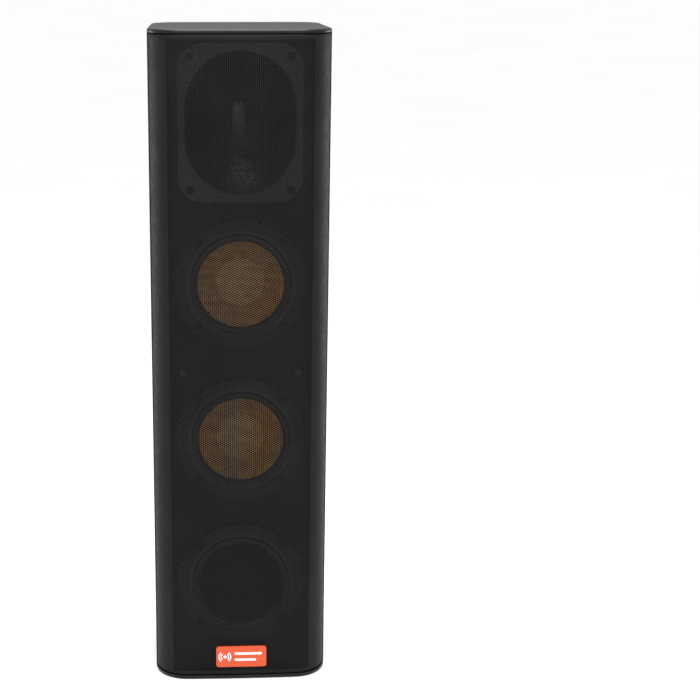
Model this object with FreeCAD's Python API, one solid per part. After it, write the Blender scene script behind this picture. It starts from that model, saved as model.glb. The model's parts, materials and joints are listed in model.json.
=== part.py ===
"""Slim column loudspeaker that stands on its own flat base or hangs on a wall bracket.

All sizes are in millimetres. +Z is up, the grille faces -Y, the connections face +Y,
and the origin is the middle of the footprint on the floor.
"""

import FreeCAD
import Part

import math
import os

V = FreeCAD.Vector

# Cabinet
WIDTH, DEPTH, HEIGHT = 150.0, 132.0, 562.0
REAR_WIDTH = 144.8  # the sides draw in slightly towards the back
REAR_Y = DEPTH / 2
FRONT_Y = 0.6 - REAR_Y  # middle of the bowed front, just behind the badge's face
CROWN = 2.0  # bow of the front
FRONT_R, REAR_R = 28.0, 24.0  # upright corners
WALL = 3.0
LIP = 3.2  # top and bottom plates, which run forward over the grille
TOP_ROUND, BASE_ROUND = 2.0, 1.5

# Front
RIM_Y = -40.0  # front edge of the side walls
GRILLE_INSET, GRILLE_T = 0.5, 1.2
BAFFLE_Y, BAFFLE_T, BAFFLE_INSET = -55.0, 4.0, 3.4
BAFFLE_BACK_Y, GASKET_T = -41.0, 1.0
BADGE_W, BADGE_H, BADGE_Z = 44.0, 19.5, 21.5
GRILLE_PIN_X, GRILLE_PIN_Z = 48.5, 277.5

# Drivers, by the height of each centre
TWEETER_Z = 487.0
WOOFERS = {"upper": 354.0, "middle": 219.0, "lower": 88.0}
FLANGE_R, FLANGE_T = 54.0, 3.0
DRIVER_HOLE_R = 46.8
DRIVER_SCREW_R = 50.0
CONE_R, CAP_R, COIL_R = 36.0, 20.0, 13.2
HORN_FLANGE = (102.0, 128.0, 20.0)
HORN_MOUTH = (90.0, 116.0)
HORN_SCREWS = (41.0, 54.0)

# Screws that draw the baffle and the shell together, each under a rubber cap
PLUG_R, TUNNEL_R, TUBE_R = 6.7, 4.5, 6.5
MID_PLUG_R, MID_PLUG_X, MID_PLUG_Z = 6.1, 48.5, 270.3
PLUG_X, PLUG_ZS = 47.0, (538.0, 398.0, 160.0, 25.0)
PLUG_DEPTH = 5.0
SEAT_Y = -34.0

# Bracket recess in the back
RECESS_Y = 57.0  # its floor
LAND_Y, RAIL_Y, PLATEAU_Y, CHANNEL_Y, GROOVE_Y = 62.0, 63.0, 60.0, 57.6, 54.5
RECESS_BOTTOM, RECESS_TOP = 170.0, 378.0
SPLAY_TOP, SPLAY_END, SPLAY = 233.3, 221.3, 8.0
HOOD_TOP, HOOD_EDGE = 227.5, 212.8
INSERT_ZS, INSERT_R, THREAD_R, INSERT_L = (337.2, 237.2), 5.2, 3.4, 14.0
PILOT_R = 1.25
PILOTS = ((26.5, 362.3), (26.5, 346.3), (26.3, 280.7), (26.3, 264.7))
STOP_SCREW_Z, BOSS_HOLE_Z = 254.2, 271.3
RIB_ZS = (337.8, 289.5, 257.1)

# Terminal well under the recess; left and right are as seen from behind
WELL_X, WELL_Y, WELL_BOTTOM, WELL_TOP = 38.0, 51.0, 170.0, 218.5
BLOCK_BOTTOM, BLOCK_TOP = 183.6, 208.6
LEVERS = {"black_left": 26.0, "red_left": 13.6, "black_right": -13.6, "red_right": -26.0}
LEVER_W, LEVER_PIVOT = 11.2, (49.5, 194.5)
LEVER_BOTTOM, LEVER_TOP = 185.3, 196.8
PORT_Z, PORT_R, TAG_Z = 200.4, 1.6, 194.2
SWITCH_Z, SWITCH_SLOT_W, SWITCH_SLOT_H = 195.0, 6.4, 12.4
KNOB_H = 8.4

# Control plate and safety anchor above the recess
PLATE_Z, PLATE_R, PLATE_HALF_H, PLATE_T = 427.0, 23.0, 18.3, 2.8
PLATE_SCREW_X = 18.5
USB_Z, JACK_Z, JACK_R = 434.3, 422.5, 2.8
ANCHOR_Z, ANCHOR_R, ANCHOR_BAR_R, ANCHOR_DEPTH = 482.5, 10.5, 2.5, 20.0

# Crossover
BOARD_Y, BOARD_T, BOARD_X, BOARD_Z = 50.0, 1.6, 37.0, (42.0, 142.0)

os.makedirs("parts", exist_ok=True)


def save(name, shape):
    shape.exportStep("parts/" + name + ".step")


def box(x0, x1, y0, y1, z0, z1):
    return Part.makeBox(x1 - x0, y1 - y0, z1 - z0, V(x0, y0, z0))


def slab(y0, y1):
    return box(-WIDTH, WIDTH, y0, y1, -10, HEIGHT + 10)


def rod_x(y, z, r, x0, x1):
    return Part.makeCylinder(r, x1 - x0, V(x0, y, z), V(1, 0, 0))


def rod_y(x, z, r, y0, y1):
    return Part.makeCylinder(r, y1 - y0, V(x, y0, z), V(0, 1, 0))


def rod_z(x, y, r, z0, z1):
    return Part.makeCylinder(r, z1 - z0, V(x, y, z0), V(0, 0, 1))


def mirrored(shape):
    return shape.mirror(V(0, 0, 0), V(1, 0, 0))


def pair(shape):
    return [shape, mirrored(shape)]


def fuse(shapes):
    return shapes[0].multiFuse(shapes[1:]).removeSplitter()


def cut(shape, tools):
    return shape.cut(Part.makeCompound(tools) if len(tools) == 1 else fuse(tools))


def plate_xz(points, y0, y1):
    """Upright plate with this outline of (x, z) corners."""
    face = Part.Face(Part.makePolygon([V(x, y0, z) for x, z in points + points[:1]]))
    return face.extrude(V(0, y1 - y0, 0))


def bar_yz(points, x0, x1):
    """Level bar across the cabinet with this section of (y, z) corners."""
    face = Part.Face(Part.makePolygon([V(x0, y, z) for y, z in points + points[:1]]))
    return face.extrude(V(x1 - x0, 0, 0))


def turned(profile, z):
    """Solid of revolution about a front-to-back axis at height z, from (radius, y) corners."""
    face = Part.Face(Part.makePolygon([V(r, y, 0) for r, y in profile + profile[:1]]))
    solid = face.revolve(V(0, 0, 0), V(0, 1, 0), 360)
    solid.translate(V(0, 0, z))
    return solid


def upright_edges(solid, front):
    found = []
    for e in solid.Edges:
        a, b = e.Vertexes[0].Point, e.Vertexes[-1].Point
        if abs(a.z - b.z) > 1 and math.hypot(a.x - b.x, a.y - b.y) < 1e-6 and (a.y < 0) == front:
            found.append(e)
    return found


def round_edges(solid, y):
    """Circular edges whose centre lies at this y."""
    return [e for e in solid.Edges if abs(e.CenterOfMass.y - y) < 1e-6]


def level_edges(solid, z):
    return [e for e in solid.Edges if all(abs(v.Point.z - z) < 1e-6 for v in e.Vertexes)]


def prism(inset, z0, z1):
    """The cabinet's upright body between two heights, drawn this far inside its outer skin."""
    front, rear = FRONT_Y + CROWN + inset, REAR_Y - inset
    taper = (WIDTH - REAR_WIDTH) / 2 / (DEPTH - FRONT_R)
    wide, narrow = WIDTH / 2 + taper * FRONT_R - inset, REAR_WIDTH / 2 - inset
    a, b = V(-wide, front, z0), V(wide, front, z0)
    c, d = V(narrow, rear, z0), V(-narrow, rear, z0)
    bow = Part.Arc(a, V(0, front - CROWN, z0), b).toShape()
    sides = [Part.makeLine(b, c), Part.makeLine(c, d), Part.makeLine(d, a)]
    solid = Part.Face(Part.Wire([bow] + sides)).extrude(V(0, 0, z1 - z0))
    solid = solid.makeFillet(FRONT_R - inset, upright_edges(solid, True))
    return solid.makeFillet(REAR_R - inset, upright_edges(solid, False))


def stadium(width, height, y, z):
    """Closed upright outline with round ends, centred on height z."""
    r, h = width / 2, (height - width) / 2
    top = Part.Arc(V(r, y, z + h), V(0, y, z + h + r), V(-r, y, z + h)).toShape()
    low = Part.Arc(V(-r, y, z - h), V(0, y, z - h - r), V(r, y, z - h)).toShape()
    left = Part.makeLine(V(-r, y, z + h), V(-r, y, z - h))
    right = Part.makeLine(V(r, y, z - h), V(r, y, z + h))
    return Part.Wire([top, left, low, right])


def rounded_plate(width, height, radius, y0, y1, z):
    """Upright plate centred on height z, with rounded corners."""
    solid = box(-width / 2, width / 2, y0, y1, z - height / 2, z + height / 2)
    corners = [e for e in solid.Edges if abs(e.Vertexes[0].Point.y - e.Vertexes[-1].Point.y) > 0.1]
    return solid.makeFillet(radius, corners)


def plugs():
    """(x, z, radius, mouth y) of each capped screw."""
    found = [(s * PLUG_X, z, PLUG_R, REAR_Y) for z in PLUG_ZS for s in (-1, 1)]
    return found + [(s * MID_PLUG_X, MID_PLUG_Z, MID_PLUG_R, LAND_Y) for s in (-1, 1)]


def driver_screws():
    """(x, z) of every screw that holds a driver."""
    step = DRIVER_SCREW_R * math.sqrt(0.5)
    spots = [(a * step, z + b * step) for z in WOOFERS.values() for a in (-1, 1) for b in (-1, 1)]
    x, dz = HORN_SCREWS
    return spots + [(a * x, TWEETER_Z + b * dz) for a in (-1, 1) for b in (-1, 1)]


def board_posts():
    """(x, z) of the posts that carry the crossover board."""
    return [(a * (BOARD_X - 4), z) for a in (-1, 1) for z in (BOARD_Z[0] + 4, BOARD_Z[1] - 4)]


# --- Shell ---


def recess_outline(y, grow=0.0):
    """Section of the bracket recess at depth y: its sides and ends slope in to the floor."""
    t = y - RECESS_Y
    x = 60.0 + t * 7 / 9 + grow
    z0, z1 = RECESS_BOTTOM - t / 6 - grow, RECESS_TOP + t * 10 / 9 + grow
    corners = [V(-x, y, z0), V(x, y, z0), V(x, y, z1), V(-x, y, z1)]
    return Part.makePolygon(corners + corners[:1])


def rail(x0, x1, top, y0, y1, flare0=SPLAY, flare1=SPLAY):
    """Upright strip in the recess that steps outwards beside the terminal well."""
    low = RECESS_BOTTOM - 0.5
    right = [(x1, top), (x1, SPLAY_TOP), (x1 + flare1, SPLAY_END), (x1 + flare1, low)]
    left = [(x0 + flare0, low), (x0 + flare0, SPLAY_END), (x0, SPLAY_TOP), (x0, top)]
    return plate_xz(right + left, y0, y1)


def hood():
    """Apron that rises from the plateau to overhang the terminal well."""
    ends = []
    y0 = RECESS_Y - 1
    for z, x, y in ((HOOD_TOP, 32.0, PLATEAU_Y), (HOOD_EDGE, 39.8, REAR_Y)):
        corners = [V(-x, y0, z), V(x, y0, z), V(x, y, z), V(-x, y, z)]
        ends.append(Part.makePolygon(corners + corners[:1]))
    return Part.makeLoft(ends, True, True)


def recess_details():
    """What stands up from the recess floor."""
    y0 = RECESS_Y - 1
    plateau = box(-32, 32, y0, PLATEAU_Y, HOOD_TOP - 0.5, 368.7)
    step = box(-15, 15, y0, PLATEAU_Y, 368, 371.4)
    well_sides = box(-39.8, 39.8, y0, 64.5, RECESS_BOTTOM - 0.5, HOOD_EDGE - 0.5)
    parts = [plateau, step, well_sides, hood()]
    parts += pair(rail(41.6, 56.6, 374.0, y0, LAND_Y, SPLAY, 0))
    parts += pair(rail(34.4, 38.3, 379.4, y0, RAIL_Y))
    for z in RIB_ZS:
        parts += pair(box(13.2, 31.0, PLATEAU_Y - 1, PLATEAU_Y + 1, z - 0.9, z + 0.9))
    return fuse(parts)


def recess_cuts():
    """What sinks below the recess floor and its plateau."""
    channel = rounded_plate(23.5, 120.6, 2.0, CHANNEL_Y, REAR_Y, 287.5)
    under_hood = [(WELL_Y, WELL_BOTTOM), (REAR_Y + 2, WELL_BOTTOM), (REAR_Y + 2, HOOD_EDGE - 1)]
    under_hood += [(62.5, HOOD_EDGE - 1), (58.0, WELL_TOP), (WELL_Y, WELL_TOP)]
    tools = [channel, bar_yz(under_hood, -WELL_X, WELL_X)]
    tools += pair(rail(38.3, 41.6, 375.5, GROOVE_Y, REAR_Y + 2))
    tools += pair(box(13.2, 31.0, PLATEAU_Y - 0.8, REAR_Y, RIB_ZS[2] + 0.9, RIB_ZS[1] - 0.9))
    tools += [rod_y(s * x, z, PILOT_R, 52.5, REAR_Y) for x, z in PILOTS for s in (-1, 1)]
    tools += [rod_y(0, z, INSERT_R + 0.03, CHANNEL_Y - INSERT_L, REAR_Y) for z in INSERT_ZS]
    tools += [rod_y(0, STOP_SCREW_Z, 2.6, 46.0, REAR_Y), rod_y(0, BOSS_HOLE_Z, 1.5, 48.0, REAR_Y)]
    for s in (-1, 1):
        x0, x1 = sorted((s * 8.9, s * 33.2))
        tools.append(box(x0, x1, WELL_Y - 5, WELL_Y + 1, BLOCK_BOTTOM + 0.2, BLOCK_TOP - 0.6))
    tools.append(box(-6.8, 6.8, WELL_Y - 5, WELL_Y + 1, BLOCK_BOTTOM - 0.4, BLOCK_TOP - 2.2))
    return tools


def recess_islands():
    """Rib on the floor of the terminal well, and the collar round the small hole in the channel."""
    rib = box(-6.8, 6.8, WELL_Y - 1, 62.0, WELL_BOTTOM - 1, 181.2)
    collar = rod_y(0, BOSS_HOLE_Z, 4.2, CHANNEL_Y - 1, CHANNEL_Y + 1.2)
    return [rib, collar.cut(rod_y(0, BOSS_HOLE_Z, 1.5, 50, REAR_Y))]


def shell_inside():
    """Ledge, screw tubes, bosses and posts inside the shell."""
    ledge = prism(WALL - 0.5, WALL - 0.5, HEIGHT - WALL + 0.5).common(slab(RIM_Y, RIM_Y + 4))
    parts = [ledge.cut(prism(9.0, 9.0, HEIGHT - 9.0))]
    for x, z, r, mouth in plugs():
        parts.append(rod_y(x, z, TUBE_R, SEAT_Y, mouth - 1))
        parts.append(rod_y(x, z, r + 2.4, mouth - PLUG_DEPTH - 3, mouth - 0.7))
    parts += [rod_y(0, z, 9.0, CHANNEL_Y - INSERT_L - 3, RECESS_Y) for z in INSERT_ZS]
    parts += [rod_y(0, STOP_SCREW_Z, 5.5, 43.5, RECESS_Y), rod_y(0, BOSS_HOLE_Z, 4.5, 45.5, RECESS_Y)]
    parts.append(rod_y(0, PLATE_Z, PLATE_R + 3.5, 58.0, REAR_Y - 1))
    parts.append(rod_y(0, ANCHOR_Z, ANCHOR_R + 2.6, REAR_Y - ANCHOR_DEPTH - 2.6, REAR_Y - 1))
    parts.append(box(-17.5, 17.5, 57.0, REAR_Y - 1, ANCHOR_Z - 6, ANCHOR_Z + 6))
    parts += [rod_y(x, z, 3.5, BOARD_Y + BOARD_T, REAR_Y - 1) for x, z in board_posts()]
    return parts


def anchor_cuts():
    """Cup for a safety rope, with a pocket each side for the bar's ends."""
    cup = rod_y(0, ANCHOR_Z, ANCHOR_R, REAR_Y - ANCHOR_DEPTH, REAR_Y + 1)
    half = ANCHOR_BAR_R + 0.1
    return [cup, box(-14, 14, REAR_Y - 6, REAR_Y + 1, ANCHOR_Z - half, ANCHOR_Z + half)]


def plate_blank(r, half_h, y0, y1):
    """Disc with its top and bottom cut straight."""
    band = box(-r, r, y0 - 1, y1 + 1, PLATE_Z - half_h, PLATE_Z + half_h)
    return rod_y(0, PLATE_Z, r, y0, y1).common(band)


def rear_shell():
    skin = prism(0, 0, HEIGHT)
    skin = skin.makeFillet(TOP_ROUND, level_edges(skin, HEIGHT))
    skin = skin.makeFillet(BASE_ROUND, level_edges(skin, 0))
    tray = Part.makeLoft([recess_outline(WELL_Y, 3.0), recess_outline(REAR_Y, 3.0)], True, True)
    well = box(-WELL_X - 3, WELL_X + 3, WELL_Y - 3, RECESS_Y, WELL_BOTTOM - 3, WELL_TOP + 3)
    body = skin.cut(prism(WALL, WALL, HEIGHT - WALL))
    body = fuse([body] + [p.common(skin) for p in [tray, well] + shell_inside()])
    body = body.cut(Part.makeLoft([recess_outline(RECESS_Y), recess_outline(REAR_Y + 2)], True, True))
    body = fuse([body, recess_details().common(skin)])
    body = cut(body, recess_cuts())
    body = fuse([body] + recess_islands())
    openings = [box(-WIDTH, WIDTH, -WIDTH, RIM_Y, LIP, HEIGHT - LIP)] + anchor_cuts()
    openings += [plate_blank(PLATE_R + 0.5, PLATE_HALF_H + 0.5, REAR_Y - 3, REAR_Y + 1)]
    openings += [box(-14.5, 14.5, 50, REAR_Y, 414.5, 440.5)]
    openings += [rod_y(s * PLATE_SCREW_X, PLATE_Z, 1.4, 59.5, REAR_Y) for s in (-1, 1)]
    openings += [box(-23, 23, REAR_Y - 0.5, REAR_Y + 1, 405.8, 406.6)]
    for x, z, r, mouth in plugs():
        openings.append(rod_y(x, z, r + 0.25, mouth - PLUG_DEPTH, REAR_Y + 1))
        openings.append(rod_y(x, z, TUNNEL_R, SEAT_Y + 4, mouth))
        openings.append(rod_y(x, z, 2.3, SEAT_Y - 1, SEAT_Y + 5))
    openings += [rod_y(x, z, 1.2, BOARD_Y, BOARD_Y + 9) for x, z in board_posts()]
    for tool in openings:
        body = body.cut(tool)
    return body


# --- Front ---


def front_baffle():
    z0, z1 = 6.0, HEIGHT - 6.0
    tub = prism(BAFFLE_INSET, z0, z1).common(slab(BAFFLE_Y, BAFFLE_BACK_Y))
    inside = prism(BAFFLE_INSET + 3, z0 + 3, z1 - 3).common(slab(BAFFLE_Y + BAFFLE_T, 0))
    bosses = [rod_y(x, z, 5.0, BAFFLE_Y + BAFFLE_T - 0.5, SEAT_Y - 0.3) for x, z, r, m in plugs()]
    bosses += [rod_y(x, z, 4.3, BAFFLE_Y + BAFFLE_T - 0.5, -44) for x, z in driver_screws()]
    body = fuse([tub.cut(inside)] + bosses)
    tools = [rod_y(0, z, DRIVER_HOLE_R, -70, 0) for z in WOOFERS.values()]
    horn = Part.Face(stadium(HORN_MOUTH[0] + 2.6, HORN_MOUTH[1] + 2.6, -70, TWEETER_Z))
    tools.append(horn.extrude(V(0, 60, 0)))
    tools += [rod_y(x, z, 2.05, -48.5, 0) for x, z, r, m in plugs()]
    tools += [rod_y(x, z, 1.95, -70, -45.5) for x, z in driver_screws()]
    tools += [rod_y(s * GRILLE_PIN_X, GRILLE_PIN_Z, 1.45, -70, -51.5) for s in (-1, 1)]
    for tool in tools:
        body = body.cut(tool)
    return body


def baffle_gasket():
    z0, z1 = 6.0, HEIGHT - 6.0
    ring = prism(BAFFLE_INSET, z0, z1).cut(prism(BAFFLE_INSET + 3, z0 + 3, z1 - 3))
    return ring.common(slab(BAFFLE_BACK_Y, BAFFLE_BACK_Y + GASKET_T))


def grille():
    """Formed sheet that wraps the front from side to side, with a turned-in edge top and bottom."""
    z0, z1 = LIP + 0.3, HEIGHT - LIP - 0.3
    outer = prism(GRILLE_INSET, z0, z1)
    sheet = outer.cut(prism(GRILLE_INSET + GRILLE_T, z0 + GRILLE_T, z1 - GRILLE_T))
    sheet = sheet.common(slab(-WIDTH, RIM_Y - 0.6))
    behind = slab(-49, WIDTH).common(prism(GRILLE_INSET + GRILLE_T, z0 - 1, z1 + 1))
    return sheet.cut(prism(8.0, z0 - 1, z1 + 1).fuse(behind))


def badge():
    blank = rounded_plate(BADGE_W, BADGE_H, 2.5, -REAR_Y, FRONT_Y + 3, BADGE_Z)
    return blank.cut(prism(GRILLE_INSET, 0, HEIGHT))


def grille_pin():
    head = rod_y(GRILLE_PIN_X, GRILLE_PIN_Z, 2.6, BAFFLE_Y - 2.2, BAFFLE_Y - 0.05)
    return head.fuse(rod_y(GRILLE_PIN_X, GRILLE_PIN_Z, 1.4, BAFFLE_Y - 1, -51.6))


# --- Drivers ---


def basket(z):
    y = BAFFLE_Y
    profile = [(45.5, y - FLANGE_T), (FLANGE_R, y - FLANGE_T), (FLANGE_R, y), (46.3, y)]
    profile += [(38.3, y + 35), (14.6, y + 35), (14.6, y + 33), (35.8, y + 33), (36.0, y + 24)]
    profile += [(33.0, y + 24), (33.0, y + 22), (36.6, y + 22), (42.5, y + 0.2)]
    profile += [(42.5, y - 1), (45.5, y - 1)]
    frame = turned(profile, z)
    for k in range(6):
        window = box(30, 60, y + 5, y + 20, z - 14, z + 14)
        window.rotate(V(0, 0, z), V(0, 1, 0), 60 * k + 30)
        frame = frame.cut(window)
    for x, screw_z in driver_screws():
        if abs(screw_z - z) < FLANGE_R:
            frame = frame.cut(rod_y(x, screw_z, 2.2, y - 10, y + 1))
    return frame


def surround(z):
    """Half-roll edge between the frame and the cone."""
    y, mid, r, t = BAFFLE_Y - 1, 39.6, 2.6, 0.8
    arc = [math.pi * k / 12 for k in range(13)]
    front = [(mid + (r + t / 2) * math.cos(a), y - t - (r + t / 2) * math.sin(a)) for a in arc]
    back = [(mid + (r - t / 2) * math.cos(a), y - (r - t / 2) * math.sin(a)) for a in reversed(arc)]
    outer = [(45.3, y - 0.05), (45.3, y - t)]
    inner = [(CONE_R + 0.4, y - t), (CONE_R + 0.4, y)]
    return turned(outer + front + inner + back + [(mid + r, y - 0.05)], z)


def spider(z):
    """Corrugated centring disc round the voice coil."""
    y, steps = BAFFLE_Y + 22, 24
    spread = [14.0 + (32.6 - 14.0) * k / steps for k in range(steps + 1)]
    wave = [y - 1.1 + 0.9 * math.cos(2 * math.pi * k / 6) for k in range(steps + 1)]
    front = list(zip(spread, [w - 0.5 for w in wave]))
    back = list(zip(reversed(spread), reversed(wave)))
    return turned(front + [(35.6, y - 0.7), (35.6, y - 0.05), (33.2, y - 0.05)] + back, z)


def cone(z):
    y, depth, t = BAFFLE_Y - 1.4, 14.4, 0.7
    span = [k / 8 for k in range(9)]
    skin = [(CONE_R - (CONE_R - COIL_R - 0.1) * s, y + depth * s ** 0.85) for s in span]
    back = [(r, d + t) for r, d in reversed(skin)]
    inner, outer, end = COIL_R + 0.1, COIL_R + 0.8, y + depth + 2.5
    neck = [(inner, end), (outer, end), (outer, y + depth + t)]
    return turned(skin + neck + back[1:], z)


def dust_cap(z):
    rim_y = BAFFLE_Y + 8.2
    rise, t = 5.6, 0.6
    arc = [CAP_R * k / 10 for k in range(11)]
    front = [(r, rim_y - rise * (1 - (r / CAP_R) ** 2)) for r in arc]
    back = [(r, d + t) for r, d in front]
    return turned(front + back[::-1], z)


def voice_coil(z):
    y = BAFFLE_Y
    former = [(COIL_R - 0.7, y + 11), (COIL_R, y + 11), (COIL_R, y + 34)]
    winding = [(COIL_R + 0.5, y + 34), (COIL_R + 0.5, y + 46), (COIL_R - 0.7, y + 46)]
    return turned(former + winding, z)


def motor(z):
    """Steel front plate, and back plate with its pole."""
    y = BAFFLE_Y + 35
    front = turned([(COIL_R + 1.2, y), (36.0, y), (36.0, y + 5), (COIL_R + 1.2, y + 5)], z)
    r = COIL_R - 1.4
    pole = [(4.0, y), (r, y), (r, y + 19), (35.0, y + 19), (35.0, y + 24), (4.0, y + 24)]
    return Part.makeCompound([front, turned(pole, z)])


def ring_magnet(inner, outer, y0, y1, z):
    return turned([(inner, y0), (outer, y0), (outer, y1), (inner, y1)], z)


def horn_sections(grow):
    """Upright sections of the flare, from the mouth back to the throat slot."""
    mouth_w, mouth_h = HORN_MOUTH
    shapes = [(mouth_w, mouth_h, 0), (72, 98, 7), (50, 76, 15), (28, 52, 24), (11, 28, 34)]
    y = BAFFLE_Y - FLANGE_T
    return [stadium(w + grow, h + grow, y + d, TWEETER_Z) for w, h, d in shapes]


def waveguide():
    y = BAFFLE_Y - FLANGE_T
    flange = rounded_plate(*HORN_FLANGE, y, BAFFLE_Y, TWEETER_Z)
    outer = Part.makeLoft(horn_sections(2 * 2.2), True)
    outer = outer.common(slab(y + 1.5, 0)).common(slab(-200, y + 34))
    collar = rod_y(0, TWEETER_Z, 28.0, y + 30, y + 34)
    body = fuse([flange, outer, collar])
    flare = Part.makeLoft(horn_sections(0), True)
    throat = Part.Face(stadium(11, 28, y + 33.5, TWEETER_Z)).extrude(V(0, 2, 0))
    body = body.cut(flare).cut(throat)
    x, dz = HORN_SCREWS
    for a in (-1, 1):
        for b in (-1, 1):
            body = body.cut(rod_y(a * x, TWEETER_Z + b * dz, 2.2, y - 1, BAFFLE_Y + 1))
    return body


def tweeter_motor():
    y = BAFFLE_Y + 31
    front = turned([(14.0, y), (29.0, y), (29.0, y + 5), (14.0, y + 5)], TWEETER_Z)
    pole = [(0.0, y + 4.8), (9.6, y + 4.8), (9.6, y + 15), (29.0, y + 15)]
    pole += [(29.0, y + 20), (0.0, y + 20)]
    return Part.makeCompound([front, turned(pole, TWEETER_Z)])


def tweeter_dome():
    """Dome, its edge and its coil, which move together."""
    y, r, t = BAFFLE_Y + 31.9, 10.6, 0.35
    arc = [r * k / 8 for k in range(9)]
    front = [(a, y - 3.0 * (1 - (a / r) ** 2) + 2.4) for a in arc]
    rim = y + 2.4
    edge = [(13.0, rim), (13.0, rim + t), (r + 0.6, rim + t), (r + 0.6, y + 10), (r, y + 10)]
    back = [(a, d + t) for a, d in reversed(front)]
    return turned(front + edge + back, TWEETER_Z)


def tweeter_cover():
    y = BAFFLE_Y + 32
    profile = [(30.4, y), (32.4, y), (32.4, y + 23), (0, y + 23), (0, y + 21), (30.4, y + 21)]
    return turned(profile, TWEETER_Z)


# --- Fastenings ---


def pan_screw(x, z, seat, tip, head_r, head_h, shank_r):
    """Cross-slotted screw whose head stands at y = seat and whose shank points to y = tip."""
    s = 1 if tip > seat else -1
    top = seat - s * head_h
    head = rod_y(x, z, head_r, *sorted((seat, top)))
    head = head.makeFillet(head_h * 0.45, round_edges(head, top))
    y0, y1 = sorted((seat - s * head_h * 0.5, top - s))
    long, short = head_r * 0.6, 0.5
    slot = box(x - long, x + long, y0, y1, z - short, z + short)
    cross = box(x - short, x + short, y0, y1, z - long, z + long)
    head = head.cut(slot.fuse(cross))
    return head.fuse(rod_y(x, z, shank_r, *sorted((seat, tip))))


def screw_caps():
    caps = []
    for x, z, r, mouth in plugs():
        head = rod_y(x, z, r, mouth - PLUG_DEPTH + 0.05, mouth - 0.1)
        head = head.makeFillet(0.5, round_edges(head, mouth - 0.1))
        base = mouth - PLUG_DEPTH
        caps.append(head.fuse(rod_y(x, z, TUNNEL_R - 0.2, base - 4, base + 1)))
    return Part.makeCompound(caps)


def brass_insert(z):
    tube = rod_y(0, z, INSERT_R, CHANNEL_Y - INSERT_L + 0.3, CHANNEL_Y + 0.3)
    tube = tube.cut(rod_y(0, z, THREAD_R, 0, REAR_Y))
    lead_in = Part.makeCone(THREAD_R, THREAD_R + 1.2, 1.2, V(0, CHANNEL_Y - 0.9, z), V(0, 1, 0))
    return tube.cut(lead_in)


def stop_screw():
    """Hexagon-headed screw in the bracket channel."""
    y = CHANNEL_Y + 0.05
    turns = [math.pi * k / 3 for k in range(6)]
    corners = [(4.7 * math.cos(a), STOP_SCREW_Z + 4.7 * math.sin(a)) for a in turns]
    head = plate_xz(corners, y, y + 3.4)
    dome = Part.makeCone(5.4, 3.6, 1.8, V(0, y + 1.6, STOP_SCREW_Z), V(0, 1, 0))
    head = head.common(dome.fuse(rod_y(0, STOP_SCREW_Z, 5.4, y - 0.5, y + 1.6)))
    return head.fuse(rod_y(0, STOP_SCREW_Z, 2.5, 46.5, y + 0.5))


# --- Connections ---


def control_plate():
    y = REAR_Y - 3 + 0.05
    plate = plate_blank(PLATE_R, PLATE_HALF_H, y, y + PLATE_T)
    posts = [rod_y(s * 11.5, 418.5, 2.2, 51.0, y + 0.5) for s in (-1, 1)]
    tools = [box(-6.4, 6.4, y - 1, REAR_Y + 1, USB_Z - 2.8, USB_Z + 2.8)]
    tools.append(rod_y(0, JACK_Z, JACK_R, y - 1, REAR_Y + 1))
    for s in (-1, 1):
        tools.append(rod_y(s * PLATE_SCREW_X, PLATE_Z, 1.6, y - 1, REAR_Y + 1))
        sink = Part.makeCone(1.6, 3.1, 1.5, V(s * PLATE_SCREW_X, y + PLATE_T - 1.5, PLATE_Z), V(0, 1, 0))
        tools.append(sink)
    body = fuse([plate] + posts)
    for tool in tools:
        body = body.cut(tool)
    return body


def control_plate_screws():
    screws = []
    top = REAR_Y - 3 + PLATE_T
    for s in (-1, 1):
        x = s * PLATE_SCREW_X
        head = Part.makeCone(1.45, 2.95, 1.5, V(x, top - 1.55, PLATE_Z), V(0, 1, 0))
        bit = box(x - 1.9, x + 1.9, top - 0.8, top + 1, PLATE_Z - 0.35, PLATE_Z + 0.35)
        bit = bit.fuse(box(x - 0.35, x + 0.35, top - 0.8, top + 1, PLATE_Z - 1.9, PLATE_Z + 1.9))
        screws.append(head.cut(bit).fuse(rod_y(x, PLATE_Z, 1.3, 60.0, top - 1.5)))
    return Part.makeCompound(screws)


def usb_shell():
    tube = box(-6.3, 6.3, 51.0, 65.5, USB_Z - 2.7, USB_Z + 2.7)
    return tube.cut(box(-5.95, 5.95, 52.0, REAR_Y, USB_Z - 2.35, USB_Z + 2.35))


def usb_tongue():
    return box(-5.5, 5.5, 52.05, 64.6, USB_Z - 0.95, USB_Z + 0.95)


def power_jack():
    body = box(-4.6, 4.6, 51.0, 62.9, JACK_Z - 4.6, JACK_Z + 4.6)
    return body.cut(rod_y(0, JACK_Z, JACK_R, 53.0, REAR_Y))


def interface_board():
    board = box(-13.5, 13.5, 49.3, 50.9, 415.5, 439.5)
    chip = box(-4, 4, 47.8, 49.3, 425, 433)
    return board.fuse(chip)


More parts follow.
